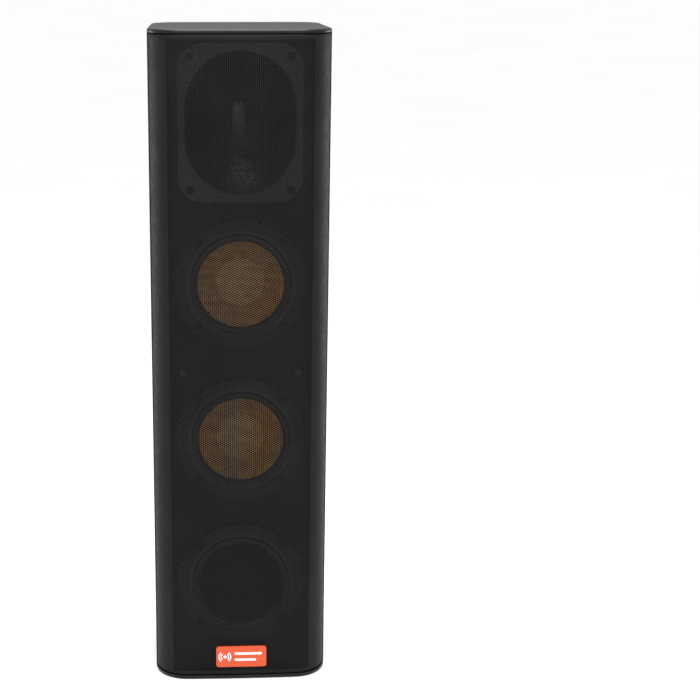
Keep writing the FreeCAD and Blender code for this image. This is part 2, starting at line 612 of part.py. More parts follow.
def terminal_block(side):
    """Push-terminal block: face with two wire ports, and a case that goes through the shell."""
    z0, z1 = BLOCK_BOTTOM, BLOCK_TOP
    flange = box(7.9, 33.5, WELL_Y + 0.05, WELL_Y + 2, z0, z1)
    case = box(9.0, 33.1, 39.5, WELL_Y + 0.5, z0 + 0.4, z1 - 0.8)
    body = flange.fuse(case)
    centres = sorted(x for x in LEVERS.values() if x > 0)
    tools = [box(10.2, 31.9, 40.8, WELL_Y, z0 + 1.8, z1 - 2.2)]
    tools.append(box(7.0, 31.9, WELL_Y, 60, z0 - 2, LEVER_TOP + 0.6))
    tools.append(box(10.2, 31.9, 45.8, 60, z0 + 1.8, LEVER_TOP + 0.6))
    tools += [rod_y(x, PORT_Z, PORT_R + 0.9, WELL_Y - 0.5, 60) for x in centres]
    tools += [box(x - 2.6, x + 2.6, 39.0, 41.0, TAG_Z - 0.1, TAG_Z + 0.8) for x in centres]
    tools.append(rod_x(*LEVER_PIVOT, 1.0, 9.4, 32.6))
    for tool in tools:
        body = body.cut(tool)
    return body if side < 0 else mirrored(body)


def port_rings(colour):
    """Coloured collars round the wire ports."""
    rings = []
    for name, x in LEVERS.items():
        if name.startswith(colour):
            ring = rod_y(x, PORT_Z, PORT_R + 0.85, WELL_Y - 0.4, WELL_Y + 2.3)
            rings.append(ring.cut(rod_y(x, PORT_Z, PORT_R, WELL_Y - 2, 60)))
    return Part.makeCompound(rings)


def lever(x):
    """Push tab on a knuckle that turns on the block's pin."""
    y, z = LEVER_PIVOT
    x0, x1, z0, z1 = x - LEVER_W / 2, x + LEVER_W / 2, LEVER_BOTTOM, LEVER_TOP
    side = [(54.0, z0), (58.0, z0), (58.8, z0 + 1), (58.0, z1 - 1.2), (56.6, z1), (54.0, z1)]
    tab = bar_yz(side, x0, x1)
    for k in range(4):
        low = z0 + 1.6 + 2 * k
        tab = tab.cut(bar_yz([(58.9 - 0.16 * k, low), (60, low), (60, low + 0.5)], x0, x1))
    lug = box(x - 3.1, x + 3.1, y, 54.2, z - 1.5, z + 1.5).fuse(rod_x(y, z, 1.9, x - 3.1, x + 3.1))
    return tab.fuse(lug).cut(rod_x(y, z, 0.97, x - 4, x + 4))


def lever_pins():
    return Part.makeCompound(pair(rod_x(*LEVER_PIVOT, 0.9, 9.5, 32.5)))


def contact_clips():
    """Brass strip behind each port, with a solder tag out of the case."""
    clips = []
    for x in LEVERS.values():
        z = PORT_Z
        strip = box(x - 2.5, x + 2.5, 40.85, 41.5, BLOCK_BOTTOM + 2.4, BLOCK_TOP - 3.0)
        tag = box(x - 2.2, x + 2.2, 34.0, 41.0, TAG_Z, TAG_Z + 0.7)
        section = [(41.2, z + 1.5), (41.2, z + 0.8), (46.6, z - 3.1), (47.0, z - 2.6)]
        finger = bar_yz(section, x - 2.2, x + 2.2)
        clips.append(strip.fuse(tag).fuse(finger))
    return Part.makeCompound(clips)


def switch_plate():
    plate = rounded_plate(15.0, 26.0, 0.8, WELL_Y + 0.05, WELL_Y + 2.4, 194.8)
    w, h = SWITCH_SLOT_W / 2, SWITCH_SLOT_H / 2
    return plate.cut(box(-w, w, WELL_Y - 1, 60, SWITCH_Z - h, SWITCH_Z + h))


def switch_body():
    case = box(-6.5, 6.5, 40.0, WELL_Y, BLOCK_BOTTOM - 0.1, BLOCK_TOP - 2.5)
    case = case.cut(box(-3.5, 3.5, 46.0, 60, SWITCH_Z - 7, SWITCH_Z + 7))
    tags = [box(-0.4, 0.4, 35.0, 40.5, z - 1, z + 1) for z in (188, 195, 202)]
    return fuse([case] + tags)


def switch_slider():
    """Knob with a ridged face, at the upper of its two positions."""
    top = SWITCH_Z + SWITCH_SLOT_H / 2 - 0.3
    knob = box(-2.8, 2.8, 46.4, WELL_Y + 1.8, top - KNOB_H, top)
    for k in range(3):
        knob = knob.cut(box(-4, 4, WELL_Y + 1.3, WELL_Y + 3, top - 2.6 - 1.6 * k, top - 1.9 - 1.6 * k))
    return knob


# --- Crossover and wiring ---


def crossover_board():
    board = box(-BOARD_X, BOARD_X, BOARD_Y, BOARD_Y + BOARD_T, *BOARD_Z)
    for x, z in board_posts():
        board = board.cut(rod_y(x, z, 1.6, BOARD_Y - 1, BOARD_Y + BOARD_T + 1))
    return board


def coil_on_board(x, z, r):
    """Air-cored coil standing on the board."""
    ring = rod_y(x, z, r, BOARD_Y - 14, BOARD_Y - 0.05)
    return ring.cut(rod_y(x, z, r * 0.45, BOARD_Y - 15, BOARD_Y + 1))


def crossover_coils():
    """Line transformer and two filter coils."""
    core = box(-24, 20, 20.0, BOARD_Y - 0.05, 94, 132)
    winding = box(-17, 13, 14.0, 20.5, 99, 127)
    return Part.makeCompound([core.fuse(winding), coil_on_board(-20, 66, 12), coil_on_board(20, 62, 10)])


def crossover_capacitors():
    cans = [rod_z(0, BOARD_Y - 5.1, 5.0, z, z + 22) for z in (46, 70)]
    cans.append(rod_x(BOARD_Y - 6.1, 83, 6.0, 10, 32))
    return Part.makeCompound(cans)


def lead(points, r=1.3):
    """Insulated pair of wires, as one round run through these points."""
    parts = []
    for a, b in zip(points, points[1:]):
        a, b = V(*a), V(*b)
        parts.append(Part.makeCylinder(r, (b - a).Length, a, b - a))
    parts += [Part.makeSphere(r, V(*p)) for p in points[1:-1]]
    return fuse(parts)


def wire_harness():
    """Leads from the crossover to each driver and up to the terminals."""
    runs = []
    for k, z in enumerate((*sorted(WOOFERS.values()), TWEETER_Z)):
        side = 1 if k % 2 else -1
        start, y, end_x = 72.0 + 14 * k, 10.0 + 6 * k, 34.0 if z == TWEETER_Z else 39.8
        route = [(36, 47.5, start), (58, y + 8, start), (58, y, z), (end_x, -8, z)]
        runs.append(lead([(side * a, b, c) for a, b, c in route]))
    runs.append(lead([(0, 47.5, 136), (0, 30, 140), (0, 30, 190), (10.5, 33.0, TAG_Z)]))
    return Part.makeCompound(runs)


def damping_pads():
    return Part.makeCompound(pair(box(65.6, 68.6, -22, 36, 40, 520)))


def write_cabinet():
    save("rear_shell", rear_shell())
    save("front_baffle", front_baffle())
    save("baffle_gasket", baffle_gasket())
    save("grille", grille())
    save("badge", badge())
    save("grille_pins", Part.makeCompound(pair(grille_pin())))
    save("screw_caps", screw_caps())
    screws = [pan_screw(x, z, SEAT_Y + 4.05, -47.5, 4.0, 3.0, 2.0) for x, z, r, m in plugs()]
    save("shell_screws", Part.makeCompound(screws))
    save("safety_bar", rod_x(REAR_Y - 3.45, ANCHOR_Z, ANCHOR_BAR_R, -13.6, 13.6))
    save("bracket_inserts", Part.makeCompound([brass_insert(z) for z in INSERT_ZS]))
    save("stop_screw", stop_screw())


def write_drivers():
    for name, z in WOOFERS.items():
        save("basket_" + name, basket(z))
        save("surround_" + name, surround(z))
        save("cone_" + name, cone(z))
        save("dust_cap_" + name, dust_cap(z))
        save("voice_coil_" + name, voice_coil(z))
        save("motor_" + name, motor(z))
    save("spiders", Part.makeCompound([spider(z) for z in WOOFERS.values()]))
    y = BAFFLE_Y + 40.05
    rings = [ring_magnet(20.0, 38.0, y, y + 13.9, z) for z in WOOFERS.values()]
    rings.append(ring_magnet(14.5, 30.0, BAFFLE_Y + 36.05, BAFFLE_Y + 45.95, TWEETER_Z))
    save("magnets", Part.makeCompound(rings))
    save("waveguide", waveguide())
    save("tweeter_motor", tweeter_motor())
    save("tweeter_dome", tweeter_dome())
    save("tweeter_cover", tweeter_cover())
    seat = BAFFLE_Y - FLANGE_T - 0.05
    screws = [pan_screw(x, z, seat, -46, 3.4, 2.2, 1.85) for x, z in driver_screws()]
    save("driver_screws", Part.makeCompound(screws))


def write_connections():
    save("control_plate", control_plate())
    save("control_plate_screws", control_plate_screws())
    save("usb_shell", usb_shell())
    save("usb_tongue", usb_tongue())
    save("power_jack", power_jack())
    save("jack_pin", rod_y(0, JACK_Z, 0.9, 53.05, 63.6))
    save("terminal_block_left", terminal_block(-1))
    save("terminal_block_right", terminal_block(1))
    for name, x in LEVERS.items():
        save("lever_" + name, lever(x))
    save("lever_pins", lever_pins())
    save("port_rings_black", port_rings("black"))
    save("port_rings_red", port_rings("red"))
    save("contact_clips", contact_clips())
    save("switch_plate", switch_plate())
    save("switch_body", switch_body())
    save("switch_slider", switch_slider())


def write_inside():
    save("circuit_boards", Part.makeCompound([crossover_board(), interface_board()]))
    save("crossover_coils", crossover_coils())
    save("crossover_capacitors", crossover_capacitors())
    save("wire_harness", wire_harness())
    save("damping_pads", damping_pads())


write_cabinet()
write_drivers()
write_connections()
write_inside()
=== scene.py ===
"""Studio picture of a slim column loudspeaker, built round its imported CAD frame.

Everything is in metres in the frame's own axes: +Z up, grille towards -Y, connections towards +Y.
"""

import json
import math

import bmesh
import bpy
import numpy as np
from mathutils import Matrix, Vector, noise


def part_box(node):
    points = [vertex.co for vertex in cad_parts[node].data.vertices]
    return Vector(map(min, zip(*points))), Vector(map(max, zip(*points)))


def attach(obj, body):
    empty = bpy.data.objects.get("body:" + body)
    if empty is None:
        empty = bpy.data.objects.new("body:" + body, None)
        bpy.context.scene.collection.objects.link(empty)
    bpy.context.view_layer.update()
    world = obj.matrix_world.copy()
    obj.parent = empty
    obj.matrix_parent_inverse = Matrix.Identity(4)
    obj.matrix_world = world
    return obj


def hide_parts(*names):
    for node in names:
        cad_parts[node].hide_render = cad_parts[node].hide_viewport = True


MM = 0.001

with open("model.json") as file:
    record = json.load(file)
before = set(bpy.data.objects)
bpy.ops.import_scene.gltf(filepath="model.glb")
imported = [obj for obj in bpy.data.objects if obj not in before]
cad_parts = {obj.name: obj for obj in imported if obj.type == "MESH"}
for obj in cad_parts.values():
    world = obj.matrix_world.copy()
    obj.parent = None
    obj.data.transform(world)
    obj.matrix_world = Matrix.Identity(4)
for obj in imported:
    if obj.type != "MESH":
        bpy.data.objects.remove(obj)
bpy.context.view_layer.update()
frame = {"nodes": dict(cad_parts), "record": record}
NODES = frame["nodes"]

WELD = 0.001 * MM  # points closer than this are one point

# Perforated sheet
GRILLE_T = 0.6 * MM  # thickness of the sheet
GRILLE_GAP = 0.5 * MM  # how far the sheet lies inside the cabinet's skin
HOLE_PITCH = 1.9 * MM
HOLE_R = 0.70 * MM  # from a hole's middle to the corners of its hexagon
BANDS = 6  # the sheet is cut into this many pieces, one above the other
FRONT_R = 28.0 * MM  # radius of the cabinet's front corners, seen from above
CROWN = 2.0 * MM  # how far the bowed front stands out at its middle
PERFORATED = 59.4 * MM  # half the width of the holed area, along the sheet
MARGIN = 3.2 * MM  # plain border above and below the holes
FLANGE = 6.6 * MM  # depth of the upper and lower edges that turn inwards
BEND_R = 1.7 * MM  # outer radius of the bend between the front and a flange
BEND_STEPS = 4
SIDE_STEPS = 9  # strips in the plain border at each side


# --- Mesh helpers ---


def new_object(name, verts, faces, smooth=False):
    """Mesh object from its points and faces, in the scene."""
    mesh = bpy.data.meshes.new(name)
    mesh.from_pydata([tuple(v) for v in verts], [], [tuple(f) for f in faces])
    mesh.validate()
    mesh.update()
    mesh.polygons.foreach_set("use_smooth", [smooth] * len(mesh.polygons))
    obj = bpy.data.objects.new(name, mesh)
    bpy.context.scene.collection.objects.link(obj)
    return obj


def islands(node):
    """Box of each separate solid in a node, as (low, high) corners."""
    mesh = bmesh.new()
    mesh.from_mesh(NODES[node].data)
    bmesh.ops.remove_doubles(mesh, verts=mesh.verts, dist=WELD)
    left, boxes = set(mesh.verts), []
    while left:
        found, queue = [], [left.pop()]
        while queue:
            vertex = queue.pop()
            found.append(vertex.co.copy())
            near = {edge.other_vert(vertex) for edge in vertex.link_edges} & left
            left -= near
            queue += near
        spans = list(zip(*found))
        boxes.append((Vector(map(min, spans)), Vector(map(max, spans))))
    mesh.free()
    return sorted(boxes, key=lambda box: tuple(box[0]))


def lathe(rings, x, z, steps=56):
    """Vertices and faces of a shape turned about a line along Y; rings are (radius, y)."""
    verts, faces = [], []
    for r, y in rings:
        for k in range(steps):
            a = 2 * math.pi * k / steps
            verts.append((x + r * math.cos(a), y, z + r * math.sin(a)))
    for i in range(len(rings) - 1):
        for k in range(steps):
            n = (k + 1) % steps
            faces.append((i * steps + k, i * steps + n, (i + 1) * steps + n, (i + 1) * steps + k))
    return verts, faces


def joined(shapes):
    """One set of vertices and faces from several."""
    verts, faces = [], []
    for some_verts, some_faces in shapes:
        start = len(verts)
        verts += some_verts
        faces += [tuple(start + i for i in face) for face in some_faces]
    return verts, faces


def tidy_mesh(obj):
    """Merges points that coincide, and turns every face outwards."""
    mesh = bmesh.new()
    mesh.from_mesh(obj.data)
    bmesh.ops.remove_doubles(mesh, verts=mesh.verts, dist=WELD)
    bmesh.ops.recalc_face_normals(mesh, faces=mesh.faces)
    mesh.to_mesh(obj.data)
    mesh.free()


def smooth_by_angle(obj, degrees=35):
    """Shades the faces smooth, and keeps every edge sharper than this angle."""
    mesh = obj.data
    mesh.polygons.foreach_set("use_smooth", [True] * len(mesh.polygons))
    mesh.set_sharp_from_angle(angle=math.radians(degrees))


def add_piece(obj, material, body="cabinet", replaces=()):
    """Paints a new object, hangs it from its body, and hides the CAD nodes it replaces."""
    obj.data.materials.clear()
    obj.data.materials.append(material)
    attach(obj, body)
    if replaces:
        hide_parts(*replaces)


# --- Materials ---


class Finish:
    """One procedural material: its node tree, and short ways to add to it."""

    def __init__(self, name, roughness, metallic=0.0, specular=0.5):
        self.material = bpy.data.materials.new(name)
        self.material.use_nodes = True
        self.tree = self.material.node_tree
        self.shader = self.tree.nodes["Principled BSDF"]
        self.shader.inputs["Roughness"].default_value = roughness
        self.shader.inputs["Metallic"].default_value = metallic
        self.shader.inputs["Specular IOR Level"].default_value = specular
        self.position = self.tree.nodes.new("ShaderNodeTexCoord").outputs["Object"]

    def node(self, kind, **settings):
        made = self.tree.nodes.new(kind)
        for key, value in settings.items():
            setattr(made, key, value)
        return made

    def link(self, output, target):
        self.tree.links.new(output, target)

    def stretched(self, scale):
        """Position multiplied by a scale along each axis."""
        made = self.node("ShaderNodeMapping")
        made.inputs["Scale"].default_value = scale
        self.link(self.position, made.inputs["Vector"])
        return made.outputs["Vector"]

    def noise(self, scale, detail, rough=0.55, vector=None):
        made = self.node("ShaderNodeTexNoise")
        made.inputs["Scale"].default_value = scale
        made.inputs["Detail"].default_value = detail
        made.inputs["Roughness"].default_value = rough
        self.link(vector or self.position, made.inputs["Vector"])
        return made.outputs["Fac"]

    def waves(self, scale, axis, distortion=0.0, vector=None, profile="SIN"):
        made = self.node("ShaderNodeTexWave", bands_direction=axis, wave_profile=profile)
        made.inputs["Scale"].default_value = scale
        made.inputs["Distortion"].default_value = distortion
        self.link(vector or self.position, made.inputs["Vector"])
        return made.outputs["Fac"]

    def maths(self, operation, a, b):
        made = self.node("ShaderNodeMath", operation=operation)
        for value, socket in zip((a, b), made.inputs):
            if isinstance(value, (int, float)):
                socket.default_value = value
            else:
                self.link(value, socket)
        return made.outputs["Value"]

    def remap(self, value, low, high, start=0.3, end=0.7):
        """Values from start to end become values from low to high."""
        made = self.node("ShaderNodeMapRange")
        numbers = {"From Min": start, "From Max": end, "To Min": low, "To Max": high}
        for socket, number in numbers.items():
            made.inputs[socket].default_value = number
        self.link(value, made.inputs["Value"])
        return made.outputs["Result"]

    def blend(self, factor, dark, light):
        made = self.node("ShaderNodeMix", data_type="RGBA")
        for socket, colour in ((made.inputs[6], dark), (made.inputs[7], light)):
            if isinstance(colour, tuple):
                socket.default_value = (*colour, 1.0)
            else:
                self.link(colour, socket)
        self.link(factor, made.inputs["Factor"])
        return made.outputs[2]

    def colour(self, output):
        self.link(output, self.shader.inputs["Base Color"])

    def roughness(self, output):
        self.link(output, self.shader.inputs["Roughness"])

    def bump(self, height, depth, strength, normal=None):
        made = self.node("ShaderNodeBump")
        made.inputs["Strength"].default_value = strength
        made.inputs["Distance"].default_value = depth
        self.link(height, made.inputs["Height"])
        if normal:
            self.link(normal, made.inputs["Normal"])
        self.link(made.outputs["Normal"], self.shader.inputs["Normal"])

    def softened_edges(self, radius):
        """Normals rounded over each edge, and a mask that is high on the edges."""
        bevel = self.node("ShaderNodeBevel", samples=6)
        bevel.inputs["Radius"].default_value = radius
        plain = self.node("ShaderNodeNewGeometry").outputs["Normal"]
        dot = self.node("ShaderNodeVectorMath", operation="DOT_PRODUCT")
        self.link(bevel.outputs["Normal"], dot.inputs[0])
        self.link(plain, dot.inputs[1])
        return bevel.outputs["Normal"], self.remap(dot.outputs["Value"], 1.0, 0.0, 0.9, 0.995)


def shade(colour, factor):
    """The same colour, lighter or darker."""
    return tuple(min(1.0, c * factor) for c in colour)


def moulded(name, colour, roughness, spread=0.12, grain=0.00001, pitch=1400, specular=0.5, edge=0.0):
    """Moulded plastic: cloudy colour, a fine pebble grain, and edges painted paler, partly as rubbed
    wear and partly as a painted highlight.
    """
    f = Finish(name, roughness, specular=specular)
    cloud = f.noise(38, 4)
    body = f.blend(f.remap(cloud, 0, 1), shade(colour, 1 - spread), shade(colour, 1 + spread))
    polish = f.remap(f.noise(240, 4), roughness * 0.92, roughness * 1.08)
    normal = None
    if edge:
        normal, mask = f.softened_edges(edge)
        # Paler edges: partly rubbed wear, partly a painted highlight along every edge
        wear_and_highlight = f.maths("MULTIPLY", mask, f.remap(f.noise(90, 2), 0.15, 0.5))
        body = f.blend(wear_and_highlight, body, shade(colour, 1.9))
    f.colour(body)
    f.roughness(polish)
    f.bump(f.noise(pitch, 2), grain, 0.6, normal)
    return f.material


def metal(name, colour, roughness, brushed=(1, 1, 1), spread=0.1, depth=0.000006, scale=500):
    """Metal with fine marks drawn out along one axis."""
    f = Finish(name, roughness, metallic=1.0)
    marks = f.noise(scale, 4, 0.6, f.stretched(brushed))
    f.colour(f.blend(f.remap(marks, 0, 1), shade(colour, 1 - spread), shade(colour, 1 + spread)))
    f.roughness(f.remap(f.noise(90, 4), roughness * 0.75, roughness * 1.3))
    f.bump(marks, depth, 0.5)
    return f.material


def paper(name, dark, light, roughness):
    """Pressed paper pulp: long fibres over mottled pulp."""
    f = Finish(name, roughness, specular=0.25)
    fibres = f.noise(900, 6, 0.7, f.stretched((1.0, 1.0, 0.22)))
    pulp = f.noise(130, 4)
    mixed = f.maths("ADD", f.maths("MULTIPLY", fibres, 0.6), f.maths("MULTIPLY", pulp, 0.4))
    f.colour(f.blend(f.remap(mixed, 0, 1, 0.35, 0.65), dark, light))
    f.roughness(f.remap(fibres, roughness * 0.9, min(1.0, roughness * 1.1)))
    f.bump(mixed, 0.00008, 0.7)
    return f.material


def cloth(name, dark, light, pitch=0.0007, roughness=0.85):
    """Woven cloth: threads across and up."""
    f = Finish(name, roughness, specular=0.2)
    scale = 1 / (pitch * 20)
    across, up = f.waves(scale * math.pi, "X"), f.waves(scale * math.pi, "Z")
    weave = f.maths("MAXIMUM", across, up)
    fuzz = f.noise(1500, 3)
    f.colour(f.blend(f.maths("MULTIPLY", weave, f.remap(fuzz, 0.5, 1.0)), dark, light))
    f.roughness(f.remap(fuzz, roughness * 0.9, 1.0))
    f.bump(weave, 0.00012, 0.8)
    return f.material


def felt(name, dark, light):
    """Matted hairs, mostly lying one way."""
    f = Finish(name, 0.95, specular=0.1)
    hairs = f.noise(420, 8, 0.75, f.stretched((1.0, 0.35, 1.0)))
    f.colour(f.blend(f.remap(hairs, 0, 1, 0.35, 0.65), dark, light))
    f.roughness(f.remap(hairs, 0.85, 1.0))
    f.bump(hairs, 0.0006, 0.9)
    return f.material


def powder_coat(name, colour, roughness):
    """Baked powder paint: an even orange-peel skin, a little dust in random patches."""
    f = Finish(name, roughness, specular=0.12)
    peel = f.noise(1900, 3)
    dust = f.noise(26, 5)
    f.colour(f.blend(f.remap(dust, 0, 1), shade(colour, 0.85), shade(colour, 1.25)))
    f.roughness(f.remap(f.noise(210, 4), roughness * 0.88, roughness * 1.15))
    f.bump(peel, 0.00002, 0.7)
    return f.material


def printed(name, colour, roughness):
    """Screen-printed lacquer over a brushed plate."""
    f = Finish(name, roughness)
    brush = f.noise(700, 3, 0.6, f.stretched((0.06, 1.0, 1.0)))
    f.colour(f.blend(f.remap(brush, 0, 1), shade(colour, 0.93), shade(colour, 1.05)))
    f.roughness(f.remap(f.noise(160, 4), roughness * 0.8, roughness * 1.25))
    f.bump(brush, 0.000008, 0.5)
    f.shader.inputs["Coat Weight"].default_value = 0.15
    f.shader.inputs["Coat Roughness"].default_value = 0.15
    return f.material


def board_lacquer(name, colour):
    """Circuit board: solder mask over faint copper tracks."""
    f = Finish(name, 0.35)
    tracks = f.waves(26, "Z", 3.0, f.stretched((0.4, 1.0, 1.0)), "SAW")
    f.colour(f.blend(f.remap(tracks, 0, 1, 0.62, 0.68), colour, shade(colour, 1.9)))
    f.roughness(f.remap(f.noise(200, 3), 0.28, 0.45))
    f.bump(tracks, 0.00003, 0.4)
    return f.material


SHELL = (0.0062, 0.0066, 0.0074)
BLACK = (0.010, 0.010, 0.011)

# Where moulded() gets an edge radius (last number), its edges are painted paler: partly wear, partly a
# painted highlight
MATERIALS = {
    "shell": moulded("black_shell", SHELL, 0.3, 0.06, 0.000010, 1100, 0.2, 0.0007),
    "baffle": moulded("baffle_plastic", (0.007, 0.007, 0.0075), 0.55, 0.12, 0.00003, 900, 0.35),
    "gasket": felt("closed_foam", (0.01, 0.01, 0.01), (0.03, 0.03, 0.03)),
    "grille": powder_coat("grille_paint", (0.0072, 0.0069, 0.0068), 0.56),
    "badge": printed("orange_lacquer", (0.60, 0.060, 0.006), 0.45),
    "cap": moulded("rubber_cap", (0.0062, 0.0062, 0.0066), 0.5, 0.12, 0.00003, 1600, 0.3, 0.0003),
    "bright_steel": metal("bright_steel", (0.30, 0.30, 0.30), 0.3, (0.08, 1, 1)),
    "zinc_steel": metal("zinc_steel", (0.34, 0.34, 0.35), 0.38),
    "brass": metal("brass", (0.66, 0.42, 0.15), 0.22, (1, 0.1, 1)),
    "plate": moulded("control_plate", (0.0075, 0.0077, 0.0082), 0.32, 0.08, 0.00001, 1500, 0.28, 0.0003),
    "black_screw": metal("blackened_screw", (0.11, 0.11, 0.115), 0.33),
    "socket_steel": metal("socket_steel", (0.13, 0.13, 0.13), 0.32, (1, 0.1, 1)),
    "white_plastic": moulded(
        "white_plastic", (0.74, 0.74, 0.73), 0.38, 0.03, 0.00001, 1300, 0.5, 0.0002
    ),
    "black_plastic": moulded("black_plastic", BLACK, 0.33, 0.1, 0.00001, 1500, 0.4, 0.0003),
    "red_plastic": moulded("red_plastic", (0.50, 0.012, 0.022), 0.36, 0.06, 0.00001, 1500, 0.5, 0.0003),
    "board": board_lacquer("circuit_board", (0.015, 0.09, 0.035)),
    "silver_plate": metal("silver_plate", (0.62, 0.64, 0.68), 0.4, (1, 1, 0.1)),
    "spider_cloth": cloth("spider_cloth", (0.28, 0.15, 0.05), (0.62, 0.40, 0.16)),
    "ferrite": moulded("ferrite", (0.05, 0.05, 0.053), 0.55, 0.2, 0.00006, 700, 0.4),
    "horn": moulded("horn_plastic", (0.010, 0.010, 0.0105), 0.24, 0.08, 0.000004, 1500, 0.9),
    "dome_metal": metal("dome_foil", (0.10, 0.095, 0.09), 0.4),
    "transformer": metal("core_laminations", (0.2, 0.19, 0.18), 0.45, (0.05, 0.05, 3)),
    "capacitor": moulded("capacitor_film", (0.42, 0.10, 0.03), 0.25, 0.08),
    "wire": moulded("wire_sleeve", (0.35, 0.02, 0.02), 0.4, 0.08),
    "wadding": felt("felt_wadding", (0.10, 0.10, 0.095), (0.34, 0.33, 0.30)),
    "basket": moulded("basket_paint", (0.010, 0.010, 0.010), 0.33, 0.1, 0.00001, 1300, 0.5),
    "surround": moulded("rubber_surround", (0.014, 0.013, 0.013), 0.3, 0.12, 0.00002, 1200, 0.8),
    "black_cone": paper("black_paper", (0.008, 0.008, 0.008), (0.026, 0.025, 0.024), 0.6),
    "brown_cone": paper("brown_paper", (0.52, 0.26, 0.07), (0.88, 0.52, 0.18), 0.7),
    "copper": metal("copper_wire", (0.80, 0.36, 0.20), 0.3, (1, 3, 1), 0.15, 0.00004, 900),
}

# Nodes whose finish differs from the rest of their slot
OWN_FINISH = {
    "dust_cap_upper": paper("brown_cap_paper", (0.72, 0.39, 0.13), (1.0, 0.68, 0.28), 0.5),
    "safety_bar": metal("dark_bar", (0.018, 0.018, 0.02), 0.35, (0.08, 1, 1)),
    "driver_screws": metal("dull_screw", (0.03, 0.03, 0.03), 0.45),
    "grille_pins": metal("dull_pin", (0.10, 0.10, 0.10), 0.45),
    "stop_screw": metal("dark_zinc", (0.105, 0.11, 0.12), 0.34),
}
OWN_FINISH["dust_cap_middle"] = OWN_FINISH["dust_cap_upper"]


def dress_frame():
    """Gives every CAD node the material of its slot in the record."""
    for part in frame["record"]["subparts"]:
        obj = NODES[part["node"]]
        finish = OWN_FINISH.get(part["node"], MATERIALS[part["material_slot"]])
        if not obj.data.materials:
            obj.data.materials.append(finish)
        for slot in obj.material_slots:
            slot.material = finish


# --- Perforated grille ---


class SheetPath:
    """Plan of the sheet's outer face: a bowed front that turns into round corners."""

    def __init__(self):
        low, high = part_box("grille")
        self.front = low.y
        self.rim = high.y
        self.radius = FRONT_R - GRILLE_GAP
        half = high.x
        self.bow = (half**2 + CROWN**2) / (2 * CROWN)
        self.centre = half - self.radius
        self.turn = math.asin(self.centre / (self.bow - self.radius))
        self.flat = self.turn * self.bow
        drop = (self.bow - self.radius) * (1 - math.cos(self.turn))
        self.corner_y = self.front + drop + self.radius
        last = math.acos((self.corner_y - self.rim) / self.radius)
        self.end = self.flat + self.radius * (last - self.turn)

    def at(self, s):
        """(x, y, inward x, inward y) at this distance along the sheet from its middle."""
        side, s = (1 if s >= 0 else -1), abs(s)
        if s <= self.flat:
            a = s / self.bow
            x, y = self.bow * math.sin(a), self.front + self.bow * (1 - math.cos(a))
        else:
            a = self.turn + (s - self.flat) / self.radius
            x = self.centre + self.radius * math.sin(a)
            y = self.corner_y - self.radius * math.cos(a)
        return side * x, y, -side * math.sin(a), math.cos(a)


def grille_rows(z0, z1, levels):
    """(depth, z) of the outer and the inner skin, from the lower flange to the upper one."""
    outer, inner = [(FLANGE, z0)], [(FLANGE, z0 + GRILLE_T)]
    inner_r = BEND_R - GRILLE_T
    for k in range(BEND_STEPS + 1):
        a = math.pi / 2 * k / BEND_STEPS
        outer.append((BEND_R - BEND_R * math.sin(a), z0 + BEND_R - BEND_R * math.cos(a)))
        inner.append((BEND_R - inner_r * math.sin(a), z0 + BEND_R - inner_r * math.cos(a)))
    upper = [[(d, z0 + z1 - z) for d, z in reversed(skin)] for skin in (outer, inner)]
    first = len(outer)
    outer += [(0.0, z) for z in levels] + upper[0]
    inner += [(GRILLE_T, z) for z in levels] + upper[1]
    return outer, inner, first


